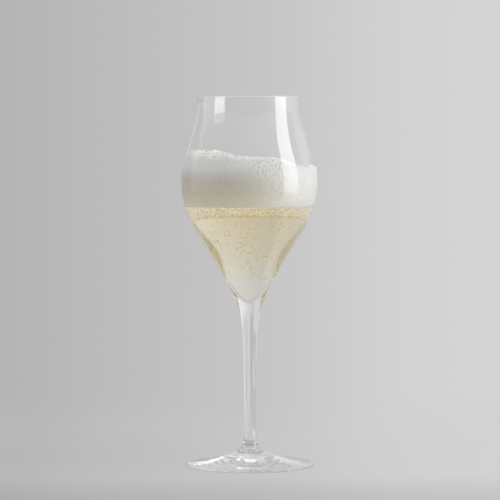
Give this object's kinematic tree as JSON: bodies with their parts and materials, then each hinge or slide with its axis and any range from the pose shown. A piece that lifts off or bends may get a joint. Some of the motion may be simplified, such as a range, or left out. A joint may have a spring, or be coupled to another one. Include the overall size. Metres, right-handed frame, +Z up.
{
  "type": "stemmed glass of sparkling wine",
  "caption": "Tall stemmed tulip glass holding pale sparkling wine in its pointed bowl under a deep head of white foam.",
  "frame": {"origin": "middle of the foot, on the surface that the glass stands on", "axes": "+Z up along the stem, -Y towards the viewer of the picture, +X to the viewer's right"},
  "size_m": [0.0816, 0.0816, 0.22],
  "materials": {
    "clear_glass": "clear polished crystal",
    "pale_wine": "clear pale straw drink",
    "white_foam": "matt fine foam with coarse froth on top"
  },
  "bodies": {
    "root": {"glass": "clear_glass", "prosecco": "pale_wine", "foam": "white_foam"}
  },
  "joints": []
}
